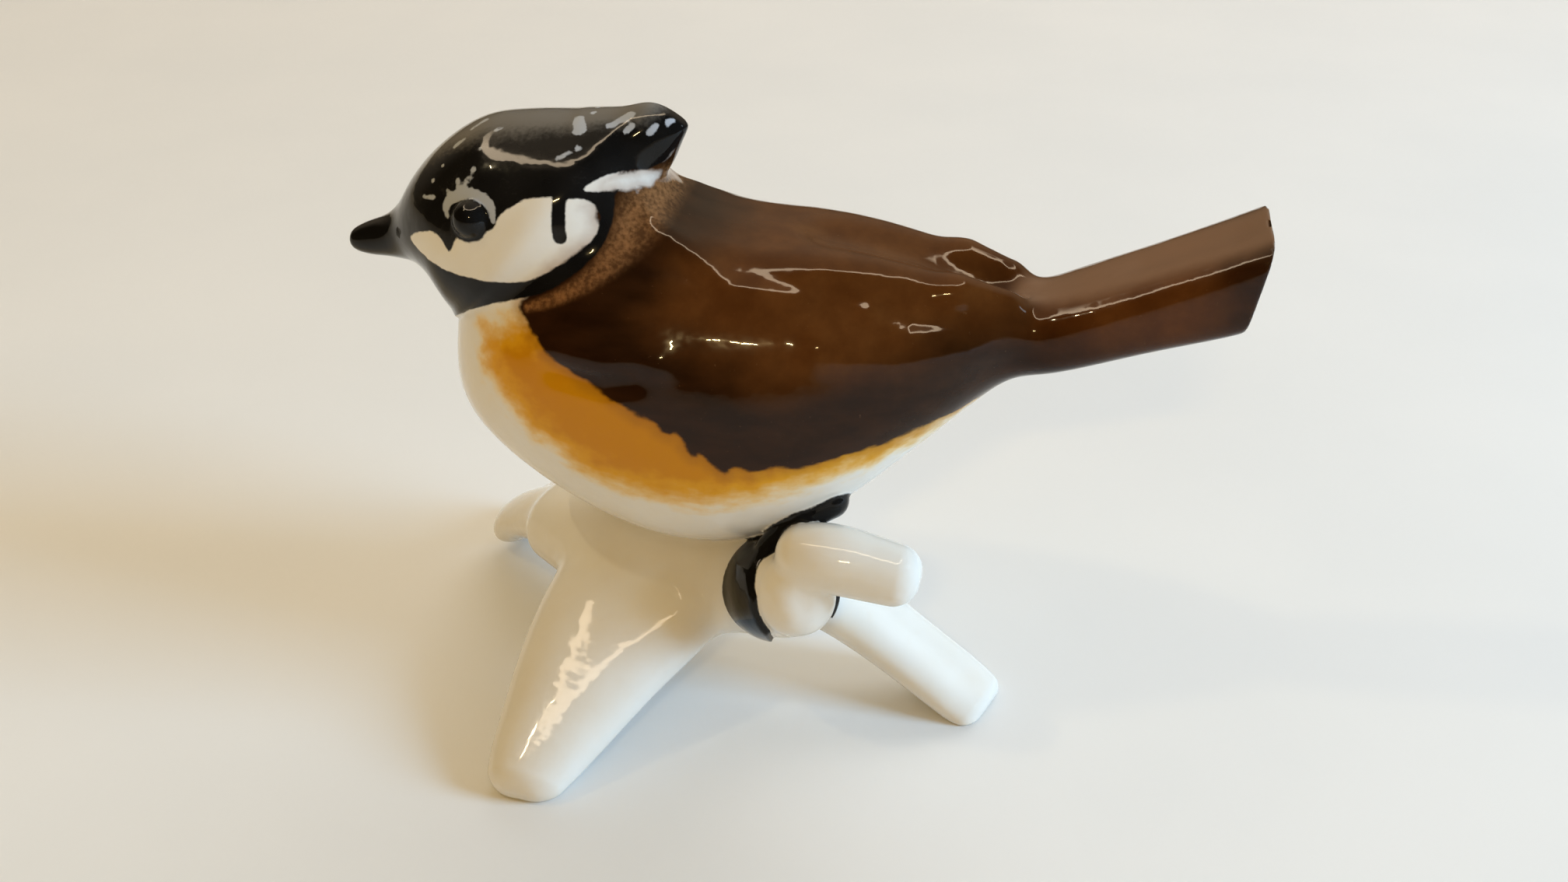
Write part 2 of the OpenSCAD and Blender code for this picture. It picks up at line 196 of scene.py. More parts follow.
class Loft:
    """Body through slanted upright sections."""

    def __init__(self, keys, ends=0.8):
        self.curve = Curve(keys)
        self.ends = ends
        s = np.linspace(0, self.curve.last, 30 * self.curve.last + 1)
        v = self.curve.at(s)[0]
        low = v[:, [0, 1]].min(0), v[:, [2, 3]].min(0)
        high = v[:, [0, 1]].max(0), v[:, [2, 3]].max(0)
        self.low = np.minimum(*low) - 14
        size = np.ceil(np.maximum(*high) + 14 - self.low).astype(int) + 1
        gx, gz = np.meshgrid(np.arange(size[0]), np.arange(size[1]), indexing="ij")
        p = np.stack([gx, gz], -1) + self.low
        best = np.full(p.shape[:2], 1e9)
        self.table = np.zeros(p.shape[:2])
        for k in range(len(s)):
            back, up = v[k, [0, 1]], v[k, [0, 1]] - v[k, [2, 3]]
            f = np.clip(((back - p) @ up) / (up @ up), 0, 1)
            away = np.linalg.norm(p - back + f[..., None] * up, axis=-1)
            closer = away < best
            best[closer] = away[closer]
            self.table[closer] = s[k]

    def __call__(self, p):
        """Distance, place along the sections, and angle round them from the back."""
        xz = p[:, [0, 2]]
        cell = np.clip((xz - self.low).round().astype(int), 0, np.array(self.table.shape) - 1)
        s = self.table[cell[:, 0], cell[:, 1]]
        for _ in range(4):
            v, dv = self.curve.at(s)
            mid, dmid = (v[:, :2] + v[:, 2:4]) / 2, (dv[:, :2] + dv[:, 2:4]) / 2
            up, dup = (v[:, :2] - v[:, 2:4]) / 2, (dv[:, :2] - dv[:, 2:4]) / 2
            off = xz - mid
            g = off[:, 0] * up[:, 1] - off[:, 1] * up[:, 0]
            dg = off[:, 0] * dup[:, 1] - off[:, 1] * dup[:, 0]
            dg = dg - (dmid[:, 0] * up[:, 1] - dmid[:, 1] * up[:, 0])
            step = np.clip(-g / np.where(np.abs(dg) < 1e-6, 1e-6, dg), -0.6, 0.6)
            s = np.clip(s + step, 0, self.curve.last)
        v = self.curve.at(s)[0]
        mid, up = (v[:, :2] + v[:, 2:4]) / 2, (v[:, :2] - v[:, 2:4]) / 2
        half = np.linalg.norm(up, axis=1)
        off = xz - mid
        t = (off * up).sum(1) / half
        g = (off[:, 0] * up[:, 1] - off[:, 1] * up[:, 0]) / half
        wide = np.maximum(v[:, 4], 0.2)
        f = superellipse(t, p[:, 1], half, wide, v[:, 5])
        between = (s > 0.001) & (s < self.curve.last - 0.001) & (np.abs(g) > 0.4)
        f = np.where(between, np.maximum(f, np.abs(g)), f)
        for end, sign in ((0, -1), (self.curve.last, 1)):
            e = self.curve.k[end]
            m, u = (e[:2] + e[2:4]) / 2, (e[:2] - e[2:4]) / 2
            u = u / np.linalg.norm(u)
            over = ((xz[:, 0] - m[0]) * u[1] - (xz[:, 1] - m[1]) * u[0]) * sign
            f = smooth_max(f, over, self.ends)
        return f, s, np.degrees(np.arctan2(np.abs(p[:, 1]) / wide, t / half))


class Limb:
    """Branch with elliptical sections round a curved line, its ends rounded by a radius."""

    def __init__(self, keys, radius):
        self.curve = Curve(keys)
        self.radius = radius
        self.s = np.linspace(0, self.curve.last, 8 * self.curve.last + 1)
        v = self.curve.at(self.s)[0]
        self.c = v[:, :3]
        reach = v[:, 3:].max() + 6
        self.low, self.high = self.c.min(0) - reach, self.c.max(0) + reach

    def __call__(self, p):
        f = np.full(len(p), 9.0)
        near = ((p > self.low) & (p < self.high)).all(1)
        q = p[near]
        if not len(q):
            return f
        s = self.s[((q[:, None, :] - self.c[None]) ** 2).sum(2).argmin(1)]
        for _ in range(7):
            v, dv = self.curve.at(s)
            along = dv[:, :3]
            s = np.clip(s + ((q - v[:, :3]) * along).sum(1) / (along ** 2).sum(1) / 2, 0, self.curve.last)
        v, dv = self.curve.at(s)
        out = unit(dv[:, :3])
        side = unit(np.cross([0, 0, 1], out))
        up = np.cross(out, side)
        off = q - v[:, :3]
        flat = superellipse((off * side).sum(1), (off * up).sum(1), v[:, 3], v[:, 4], ROUNDNESS)
        flat = flat + self.radius
        over = (off * out).sum(1) * ((s > self.curve.last - 0.001) * 1.0 - (s < 0.001))
        behind = np.minimum(s, self.curve.last - s) * np.linalg.norm(dv[:, :3], axis=1)
        over = np.where(over > 0, over, -np.minimum(behind, 9)) + self.radius
        outside = np.hypot(np.maximum(flat, 0), np.maximum(over, 0))
        f[near] = np.minimum(np.maximum(flat, over), 0) + outside - self.radius
        return f


def stroke(p, points, both=True):
    """Distance to a line through points, which may stand for both sides of the bird alike."""
    q = np.stack([p[:, 0], np.abs(p[:, 1]), p[:, 2]], 1) if both else p
    best = np.full(len(p), 1e9)
    for a, b in zip(np.array(points[:-1], float), np.array(points[1:], float)):
        f = np.clip((q - a) @ (b - a) / ((b - a) @ (b - a)), 0, 1)
        best = np.minimum(best, np.linalg.norm(q - a - f[:, None] * (b - a), axis=1))
    return best


def capsule(p, a, b):
    """Distance from a tapered capsule between two balls (x, y, z, radius)."""
    a, b = np.array(a, float), np.array(b, float)
    f = np.clip((p - a[:3]) @ (b[:3] - a[:3]) / ((b[:3] - a[:3]) @ (b[:3] - a[:3])), 0, 1)
    return np.linalg.norm(p - a[:3] - f[:, None] * (b[:3] - a[:3]), axis=1) - a[3] - f * (b[3] - a[3])


bird_loft, crest_loft = Loft(BIRD), Loft(CREST, 1.2)
limbs = {name: Limb(*spec) for name, spec in LIMBS.items()}


def shape(p):
    """Signed distance of the figure, and of each part in it."""
    part = {}
    bird, s, angle = bird_loft(p)
    for points, wide, high in RELIEF:
        bird = bird - high * np.exp(-(stroke(p, points) / wide) ** 2)
    part["s"], part["angle"] = s, angle
    part["head"] = bird
    part["crest"] = crest_loft(p)[0]
    bird = smooth_min(bird, part["crest"], 3.0)
    q = np.stack([p[:, 0], np.abs(p[:, 1]), p[:, 2]], 1)
    eye = np.linalg.norm(q - EYE, axis=1) - EYE_R
    part["eye"] = eye
    bird = smooth_min(bird, eye, 0.7)
    part["bird"] = bird
    branch = np.full(len(p), 9.0)
    for name, limb in limbs.items():
        part[name] = limb(p)
        branch = smooth_min(branch, part[name], 1.8 if name == "twig" else 4.0)
    for points, wide, deep in TROUGHS:
        branch = branch + deep * np.exp(-(stroke(p, points, False) / wide) ** 2)
    branch = smooth_max(branch, -p[:, 2], 0.7)
    feet = np.full(len(p), 9.0)
    for name, foot in FEET.items():
        axis = np.array(foot["axis"]) / np.linalg.norm(foot["axis"])
        side = unit(np.cross([0, 0, 1], axis))
        up = np.cross(axis, side)
        off = p - np.array(foot["centre"])
        turn = np.degrees(np.arctan2(off @ up, off @ side))
        toes = np.array(foot["toes"], float)
        if toes[-1, 0] > 180:
            turn = turn % 360
        middle, wide = (np.interp(turn, toes[:, 0], toes[:, i], left=-3, right=-3) for i in (1, 2))
        band = smooth_max(branch - TOE, np.abs(off @ axis - middle) - wide, 0.9)
        band = np.where(np.linalg.norm(off, axis=1) < GRIP, band, 9)
        for a, b in zip(foot["leg"], foot["leg"][1:]):
            band = smooth_min(band, capsule(p, a, b), 1.2)
        part[name] = band
        feet = np.minimum(feet, part[name])
    part["branch"] = branch
    perch = smooth_min(branch, feet, 0.8)
    full = smooth_min(bird, perch, FILLET)
    hole = np.maximum(np.hypot(p[:, 0] - VENT[0], p[:, 1] - VENT[1]) - VENT[2], p[:, 2] - VENT[3])
    full = smooth_max(full, -hole, 0.6)
    part["full"] = full
    return part


def distance(p, chunk=150000):
    return np.concatenate([shape(p[i:i + chunk])["full"] for i in range(0, len(p), chunk)])


# ==== Mesh ====
def skin(spacing):
    """Even mesh of the figure's surface, as points and triangles."""
    low, high = np.array([-63.0, -42.5, -1.5]), np.array([61.5, 31.5, 84.5])
    step = 3
    coarse = np.ceil((high - low) / (spacing * step)).astype(int) + 1
    axes = [low[a] + spacing * step * np.arange(coarse[a]) for a in range(3)]
    grid = np.stack(np.meshgrid(*axes, indexing="ij"), -1)
    f = distance(grid.reshape(-1, 3)).reshape(coarse)
    solid = f < 0
    mixed = np.zeros(coarse - 1, bool)
    for d in np.ndindex(2, 2, 2):
        corner = solid[d[0]:coarse[0] - 1 + d[0], d[1]:coarse[1] - 1 + d[1], d[2]:coarse[2] - 1 + d[2]]
        mixed |= corner != solid[:-1, :-1, :-1]
    for axis in range(3):
        grown = mixed.copy()
        cut, rest = [slice(None)] * 3, [slice(None)] * 3
        cut[axis], rest[axis] = slice(1, None), slice(None, -1)
        grown[tuple(cut)] |= mixed[tuple(rest)]
        grown[tuple(rest)] |= mixed[tuple(cut)]
        mixed = grown
    fine = (coarse - 1) * step + 1
    field = np.repeat(np.repeat(np.repeat(f, step, 0), step, 1), step, 2)[step // 2:, step // 2:, step // 2:]
    field = np.ascontiguousarray(field[:fine[0], :fine[1], :fine[2]])
    band = np.zeros(fine, bool)
    blocks = np.argwhere(mixed) * step
    for d in np.ndindex(step + 1, step + 1, step + 1):
        band[blocks[:, 0] + d[0], blocks[:, 1] + d[1], blocks[:, 2] + d[2]] = True
    index = np.argwhere(band)
    field[band] = distance(index * spacing + low)

    # One point in each cell that the surface passes through
    solid = field < 0
    count = np.zeros(fine - 1, np.int8)
    for d in np.ndindex(2, 2, 2):
        count += solid[d[0]:fine[0] - 1 + d[0], d[1]:fine[1] - 1 + d[1], d[2]:fine[2] - 1 + d[2]]
    cells = np.argwhere((count > 0) & (count < 8))
    number = np.full(fine - 1, -1)
    number[tuple(cells.T)] = np.arange(len(cells))
    total, hits = np.zeros((len(cells), 3)), np.zeros(len(cells))
    for axis in range(3):
        for d in np.ndindex(2, 2):
            a = cells.copy()
            others = [k for k in range(3) if k != axis]
            a[:, others[0]] += d[0]
            a[:, others[1]] += d[1]
            b = a.copy()
            b[:, axis] += 1
            fa, fb = field[tuple(a.T)], field[tuple(b.T)]
            cross = (fa < 0) != (fb < 0)
            u = np.where(cross, fa / np.where(cross, fa - fb, 1), 0)
            total += cross[:, None] * (a + u[:, None] * (b - a))
            hits += cross
    points = total / hits[:, None] * spacing + low
    quads = []
    for axis in range(3):
        j, k = (axis + 1) % 3, (axis + 2) % 3
        a, b = [slice(1, -1)] * 3, [slice(1, -1)] * 3
        a[axis], b[axis] = slice(0, -1), slice(1, None)
        change = solid[tuple(a)] != solid[tuple(b)]
        at = np.argwhere(change)
        at[:, [j, k]] += 1
        out = solid[tuple(at.T)]
        dj, dk = np.zeros(3, int), np.zeros(3, int)
        dj[j], dk[k] = 1, 1
        ring = np.stack([number[tuple(cell.T)] for cell in (at - dj - dk, at - dk, at, at - dj)], 1)
        ring[~out] = ring[~out][:, ::-1]
        quads.append(ring)
    quads = np.concatenate(quads)

    for turn in range(3):
        if turn < 2:
            points = relaxed(points, quads)
        points = points - gradient(points, True)
    a, b, c, d = quads.T
    short = np.linalg.norm(points[a] - points[c], axis=1) < np.linalg.norm(points[b] - points[d], axis=1)
    one = np.where(short[:, None], np.stack([a, b, c], 1), np.stack([a, b, d], 1))
    two = np.where(short[:, None], np.stack([a, c, d], 1), np.stack([b, c, d], 1))
    return points, np.concatenate([one, two])


def gradient(points, newton=False):
    """Slope of the distance, or the step that takes each point onto the surface."""
    corners = np.array([[1, -1, -1], [-1, -1, 1], [-1, 1, -1], [1, 1, 1]]) * PROBE
    values = [distance(points + c) for c in corners]
    slope = sum(v[:, None] * c for v, c in zip(values, corners)) / (4 * PROBE * PROBE)
    if not newton:
        return unit(slope)
    mean = sum(values) / 4
    step = slope * (mean / np.maximum((slope ** 2).sum(1), 0.1))[:, None]
    size = np.linalg.norm(step, axis=1, keepdims=True)
    return step * np.minimum(1, 0.4 / np.maximum(size, 1e-9))


def relaxed(points, quads):
    """Points moved halfway to the mean of their neighbours."""
    total, hits = np.zeros_like(points), np.zeros(len(points))
    for k in range(4):
        a, b = quads[:, k], quads[:, (k + 1) % 4]
        for one, other in ((a, b), (b, a)):
            for axis in range(3):
                total[:, axis] += np.bincount(one, points[other, axis], len(points))
            hits += np.bincount(one, minlength=len(points))
    return (points + total / hits[:, None]) / 2


# ==== Paint: outlines in mm, seen from the bird's side as (x, z) ====
CAP = [(-64, 48), (-64, 90), (-8, 90), (-10, 80), (-14.6, 78), (-16.4, 75.6), (-18.6, 75.2), (-21.2, 74.2),
       (-21.3, 71.8), (-21.5, 69.5), (-22.5, 67.3), (-25.3, 64.8), (-28.8, 62.4), (-32.3, 61.0),
       (-36.0, 59.8), (-40.3, 57.6), (-43.2, 55.4), (-47.5, 52.0)]
CHEEK = [(-49.2, 65.4), (-47.9, 66.6), (-46.3, 67.5), (-44.2, 68.2), (-43.0, 67.4), (-42.1, 65.8),
         (-41.4, 66.6), (-40.9, 68.3), (-39.0, 68.9), (-37.2, 69.2), (-35.5, 69.8), (-35.2, 71.0),
         (-34.4, 72.0), (-33.2, 72.5), (-32.1, 73.3), (-29.3, 73.8), (-25.7, 73.6), (-24.0, 73.2),
         (-22.8, 71.6), (-22.8, 69.6), (-23.8, 68.2), (-26.5, 66.1), (-30.2, 63.8), (-33.6, 62.7),
         (-37.0, 62.8), (-41.0, 62.9), (-44.4, 63.6), (-47.4, 64.5)]
BROWN = [(-33.0, 60.4), (-32.1, 59.2), (-31.0, 58.0), (-29.2, 56.5), (-26.3, 54.6), (-24.4, 52.9),
         (-22.6, 52.4), (-19.3, 50.7), (-16.4, 49.0), (-15.2, 49.2), (-12.4, 46.3), (-11.6, 47.6),
         (-9.6, 43.6), (-8.6, 45.2), (-5.6, 41.0), (-4.4, 42.9), (-1.8, 41.6), (0.4, 42.8), (3.4, 42.0),
         (5.5, 42.9), (14.0, 44.6), (21.4, 47.0), (26.0, 49.0), (30.0, 47.0), (64, 47), (64, 90),
         (-14, 90), (-14, 76), (-22, 76), (-27, 66)]
CHIN, COLLAR_LOW = 5, 48  # half width of the black under the chin, and the height that the collar ends above
BELLY_EDGE = 0.6        # how far the bird's colours run over onto the branch
# Strokes of the brush: points (x, |y|, z, half width)
EAR_MARK = [
    [(-27.4, 11.4, 74.6, 0.85), (-27.5, 12.3, 71.4, 0.85), (-27.4, 12.7, 69.0, 0.85)],
]
NAPE = [
    [(-24.4, 9.9, 74.5, 0.35), (-22.6, 8.4, 74.7, 0.9), (-20.4, 6.2, 74.5, 1.1), (-18.4, 4.0, 74.2, 1.0),
     (-17.4, 2.6, 74.0, 0.7)],
]
CRESCENT = [
    [(-42.4, 12.2, 70.6, 0.3), (-42.5, 11.6, 72.0, 0.6), (-41.2, 11.2, 73.2, 0.85),
     (-39.3, 11.5, 73.7, 0.8), (-37.5, 12.0, 73.4, 0.7), (-36.2, 12.6, 72.3, 0.55),
     (-35.8, 13.0, 70.8, 0.3)],
    [(-42.0, 11.2, 72.9, 0.45), (-42.9, 10.6, 73.8, 0.15)],
    [(-41.0, 11.0, 73.9, 0.45), (-41.6, 10.2, 75.2, 0.15)],
    [(-40.2, 11.0, 74.4, 0.35), (-40.2, 10.2, 75.6, 0.12)],
]
FLECKS = [
    [(-27.2, 2.4, 81.0, 0.7), (-26.6, 4.6, 80.4, 0.85)],
    [(-25.6, 1.0, 81.0, 0.4)],
    [(-26.2, 7.0, 78.8, 0.45)],
    [(-28.4, 8.2, 77.6, 0.35), (-27.0, 7.6, 78.4, 0.3)],
    [(-23.0, 3.6, 80.6, 0.4), (-20.7, 2.2, 81.8, 0.6)],
    [(-20.8, 3.9, 80.0, 0.35), (-20.1, 3.3, 80.7, 0.4)],
    [(-17.8, 3.1, 79.8, 0.5), (-17.2, 2.6, 80.5, 0.35)],
    [(-15.8, 1.9, 80.8, 0.45), (-15.2, 1.4, 81.0, 0.35)],
    [(-41.2, 2.6, 78.4, 0.3), (-39.6, 1.2, 79.2, 0.35)],
    [(-42.6, 4.6, 76.6, 0.35), (-41.6, 4.0, 77.2, 0.35)],
    [(-39.0, 6.4, 77.4, 0.3)],
    [(-39.3, 9.0, 75.9, 0.35)],
    [(-37.6, 4.0, 78.9, 0.25), (-36.8, 3.6, 79.2, 0.2)],
    [(-39.9, 10.6, 74.9, 0.3), (-39.3, 10.0, 75.5, 0.2)],
    [(-45.0, 7.8, 73.3, 0.3)],
    [(-46.2, 8.4, 71.3, 0.2), (-44.5, 9.7, 71.9, 0.25)],
    [(-43.8, 6.8, 74.9, 0.25)],
]
ORANGE = [(-41.4, 56.4), (-40.0, 52.2), (-37.0, 47.6), (-32.6, 42.6), (-26.6, 38.0), (-20.0, 35.4),
          (-13.0, 34.0), (-7.0, 34.4), (0.0, 36.2), (6.0, 37.8), (13.0, 39.8), (19.0, 42.4), (26.0, 46.0),
          (30.0, 50.0), (10.0, 56.0), (-24.0, 62.0), (-33.0, 61.0)]
# Painted sheen: strokes along the tops of the tail and the crown, where the colour is made paler to stand in
# for the room's reflection
TOP_SHEEN_STROKES = [
    [(31, 0, 61.6, 5), (38, 0, 63.4, 8), (48, 0, 67.8, 9), (58, 0, 72.2, 9.5)],
    [(-50, 0, 71.4, 5), (-42, 0, 78.0, 7), (-30, 0, 80.6, 6.6), (-20, 0, 81.8, 4.5)],
]
GOLDEN = [
    [(-15.6, 3, 73.4, 2.6), (-17.6, 9, 71.6, 4.4), (-19.4, 12, 68.6, 3.4), (-22.4, 15, 65.2, 1.9),
     (-27.0, 16, 62.2, 1.2), (-31.6, 16, 60.1, 0.8)],
]


def polygon(p, outline, rounds=2):
    """Distance from an outline in the side view, above zero inside it, its corners rounded off."""
    loop = np.array(outline, float)
    for _ in range(rounds):
        ahead = np.roll(loop, -1, 0)
        loop = np.stack([loop * 0.75 + ahead * 0.25, loop * 0.25 + ahead * 0.75], 1).reshape(-1, 2)
    best, inside = np.full(len(p), 1e9), np.zeros(len(p), bool)
    x, z = p[:, 0], p[:, 2]
    for (ax, az), (bx, bz) in zip(loop, np.roll(loop, -1, 0)):
        f = ((x - ax) * (bx - ax) + (z - az) * (bz - az)) / ((bx - ax) ** 2 + (bz - az) ** 2 + 1e-12)
        f = np.clip(f, 0, 1)
        best = np.minimum(best, (x - ax - f * (bx - ax)) ** 2 + (z - az - f * (bz - az)) ** 2)
        inside ^= ((az > z) != (bz > z)) & (x < (bx - ax) * (z - az) / (bz - az + 1e-12) + ax)
    return np.sqrt(best) * np.where(inside, 1, -1)


def brushed(p, strokes, flat=False, share=False):
    """Depth inside strokes of the brush, or the share of their half width, from 0 at the edge to 1."""
    q = np.stack([p[:, 0], np.abs(p[:, 1]), p[:, 2]], 1)
    best = np.full(len(p), -1e9)
    for points in strokes:
        line = np.array(points, float)
        if len(line) > 2:
            curve = Curve(line)
            line = curve.at(np.linspace(0, curve.last, 3 * curve.last + 1))[0]
        if len(line) == 1:
            line = np.concatenate([line, line + [0.01, 0, 0, 0]])
        for a, b in zip(line[:-1], line[1:]):
            pa, ba = q - a[:3], b[:3] - a[:3]
            if flat:
                pa, ba = pa * [1, 0, 1], ba * [1, 0, 1]
            f = np.clip(pa @ ba / (ba @ ba), 0, 1)
            wide = a[3] + f * (b[3] - a[3])
            away = np.linalg.norm(pa - f[:, None] * ba, axis=1)
            best = np.maximum(best, 1 - away / wide if share else wide - away)
    return best


def laid(strokes):
    """Strokes whose points are brought onto the figure's surface."""
    out = []
    for points in strokes:
        line = np.array(points, float)
        for _ in range(6):
            line[:, :3] -= gradient(line[:, :3], True)
        out.append(line)
    return out


nape_strokes, ear_strokes, white_strokes = laid(NAPE), laid(EAR_MARK), laid(CRESCENT + FLECKS)


def paint(p, part):
    """The painted areas at each point, as depths in mm or as shares."""
    bird = np.where(part["bird"] < part["branch"] + BELLY_EDGE, 1.0, 0.0)
    nape, cheek = brushed(p, nape_strokes), polygon(p, CHEEK)
    # The cheeks stay apart under the chin
    cheek = np.where(np.abs(p[:, 1]) < CHIN, np.minimum(cheek, np.abs(p[:, 1]) - CHIN), cheek)
    black = np.minimum(np.minimum(polygon(p, CAP), -cheek), -nape)
    black = np.maximum(black, np.minimum(brushed(p, ear_strokes), 5))
    black = np.maximum(black, 0.5 - part["eye"])
    # Below the neck only the feet are black
    black = np.where(p[:, 2] < COLLAR_LOW, -9, black)
    black = np.maximum(black, 0.35 - np.minimum(part["left_foot"], part["right_foot"]))
    brown = np.where(bird > 0, np.minimum(polygon(p, BROWN), -np.maximum(nape, cheek)), -9)
    flecks = np.minimum(brushed(p, white_strokes), part["eye"] - 0.1)
    return {
        "black_mm": np.clip(black, -9, 9),
        "brown_mm": np.clip(brown, -20, 30),
        "white_mm": np.clip(flecks, -9, 9),
        "orange_mm": np.where(bird > 0, np.clip(polygon(p, ORANGE), -9, 9), -9),
        "golden": np.clip(brushed(p, GOLDEN, True, True), 0, 1) * bird,
        # Painted sheen on the tops of the tail and the crown
        "top_sheen": np.clip(brushed(p, TOP_SHEEN_STROKES, False, True), 0, 1) * bird,
    }


# ==== Pieces ====
def groups(count, one, other):
    """Number of the connected group of each of a count of things, from the pairs that touch."""
    group = np.arange(count)
    while True:
        a, b = group[one], group[other]
        if (a == b).all():
            return group
        np.minimum.at(group, a, np.minimum(a, b))
        np.minimum.at(group, b, np.minimum(a, b))
        while (group[group] != group).any():
            group = group[group]


class Skin:
    """Triangles with a label each, and fields at their corners that cuts divide."""

    def __init__(self, points, faces, normals):
        self.p, self.t, self.n = points, faces, normals
        self.label = np.zeros(len(faces), int)
        self.names = ["torso_shell"]
        self.part = shape(points)
        self.backs = []

    def cut(self, field, old, new):
        """Gives the part of the pieces in old where a field is below zero to the piece new."""
        if new not in self.names:
            self.names.append(new)
        mark = self.names.index(new)
        chosen = np.isin(self.label, [self.names.index(o) for o in old if o in self.names])
        g = field(self).astype(float).copy()
        t = self.t[chosen]
        for k in range(3):
            a, b = t[:, k], t[:, (k + 1) % 3]
            cross = g[a] * g[b] < 0
            u = g[a] / np.where(cross, g[a] - g[b], 1)
            g[a[cross & (u < SNAP)]] = 0
            g[b[cross & (u > 1 - SNAP)]] = 0
        sign = np.sign(g[t])
        mixed = (sign.max(1) > 0) & (sign.min(1) < 0)
        where = np.flatnonzero(chosen)
        self.label[where[~mixed & (sign.sum(1) < 0)]] = mark
        if not mixed.any():
            return
        m, sm, home = t[mixed], sign[mixed].astype(int), self.label[where[mixed]]
        zero = (sm == 0).any(1)
        lone = np.where(zero, (sm == 0).argmax(1), (sm * sm.sum(1, keepdims=True) < 0).argmax(1))
        rows = np.arange(len(m))
        order = (lone[:, None] + np.arange(3)) % 3
        m, sm = m[rows[:, None], order], sm[rows[:, None], order]
        pairs = np.concatenate([m[~zero][:, [0, 1]], m[~zero][:, [0, 2]], m[zero][:, [1, 2]]])
        keys, back = np.unique(np.sort(pairs, 1), axis=0, return_inverse=True)
        back = back.reshape(-1)
        a, b = keys.T
        u = (g[a] / (g[a] - g[b]))[:, None]
        fresh = len(self.p) + np.arange(len(keys))
        self.p = np.concatenate([self.p, self.p[a] * (1 - u) + self.p[b] * u])
        self.n = np.concatenate([self.n, unit(self.n[a] * (1 - u) + self.n[b] * u)])
        for name, v in self.part.items():
            self.part[name] = np.concatenate([v, v[a] * (1 - u[:, 0]) + v[b] * u[:, 0]])
        k = (~zero).sum()
        e1, e2, e3 = fresh[back[:k]], fresh[back[k:2 * k]], fresh[back[2 * k:]]
        v = m[~zero]
        w = m[zero]
        corners = [(v[:, 0], e1, e2), (e1, v[:, 1], v[:, 2]), (e1, v[:, 2], e2),
                   (w[:, 0], w[:, 1], e3), (w[:, 0], e3, w[:, 2])]
        faces = [np.stack(three, 1) for three in corners]
        signs = [sm[~zero][:, 0], sm[~zero][:, 1], sm[~zero][:, 1], sm[zero][:, 1], sm[zero][:, 2]]
        homes = [home[~zero]] * 3 + [home[zero]] * 2
        keep = np.ones(len(self.t), bool)
        keep[where[mixed]] = False
        labels = [np.where(s < 0, mark, h) for s, h in zip(signs, homes)]
        self.t = np.concatenate([self.t[keep]] + faces)
        self.label = np.concatenate([self.label[keep]] + labels)

    def join_islands(self):
        """Gives each island of a piece, apart from its largest part, to the piece it has most edges with."""
        edges = np.sort(np.concatenate([self.t[:, [0, 1]], self.t[:, [1, 2]], self.t[:, [2, 0]]]), 1)
        order = np.lexsort(edges.T)
        same = (edges[order[:-1]] == edges[order[1:]]).all(1)
        one, other = order[:-1][same] % len(self.t), order[1:][same] % len(self.t)
        inside = self.label[one] == self.label[other]
        group = groups(len(self.t), one[inside], other[inside])
        border = ~inside
        one, other = one[border], other[border]
        one, other = np.concatenate([one, other]), np.concatenate([other, one])
        sizes = np.bincount(group)
        for mark in range(len(self.names)):
            own = np.unique(group[self.label == mark])
            for island in own[np.argsort(sizes[own])[:-1]]:
                near = self.label[other[group[one] == island]]
                if len(near):
                    self.label[group == island] = np.bincount(near).argmax()


def rim(faces):
    """Edges that only one triangle has, in that triangle's direction."""
    edges = np.concatenate([faces[:, [0, 1]], faces[:, [1, 2]], faces[:, [2, 0]]])
    big = faces.max() + 1
    key = np.sort(edges, 1) @ np.array([big, 1])
    _, first, count = np.unique(key, return_index=True, return_counts=True)
    return edges[first[count == 1]]


def inlay(skin, name, host, deep):
    """Gives an inlaid piece a thickness, and its host the recess that it lies in."""
    outer = skin.t[skin.label == skin.names.index(name)]
    used = np.unique(outer)
    number = np.zeros(len(skin.p), int)
    number[used] = len(skin.p) + np.arange(len(used))
    skin.p = np.concatenate([skin.p, skin.p[used] - skin.n[used] * deep])
    skin.n = np.concatenate([skin.n, skin.n[used]])
    for key, v in skin.part.items():
        skin.part[key] = np.concatenate([v, v[used]])
    under = number[outer]
    a, b = rim(outer).T
    wall = np.concatenate([np.stack([b, a, number[a]], 1), np.stack([b, number[a], number[b]], 1)])
    skin.backs.append((name, np.concatenate([under[:, ::-1], wall])))
    skin.backs.append((host, np.concatenate([under, wall[:, ::-1]])))


def caps(faces, points):
    """Triangles from each open edge of a piece to the middle of its loop, and those middles."""
    edges = rim(faces)
    if not len(edges):
        return np.zeros((0, 3), int), np.zeros((0, 3))
    ends, flat = np.unique(edges, return_inverse=True)
    flat = flat.reshape(-1, 2)
    group = groups(len(ends), flat[:, 0], flat[:, 1])
    loops, which = np.unique(group[flat[:, 0]], return_inverse=True)
    which = which.reshape(-1)
    middle = np.array([points[edges[which == k]].reshape(-1, 3).mean(0) for k in range(len(loops))])
    return np.stack([edges[:, 1], edges[:, 0], len(points) + which], 1), middle


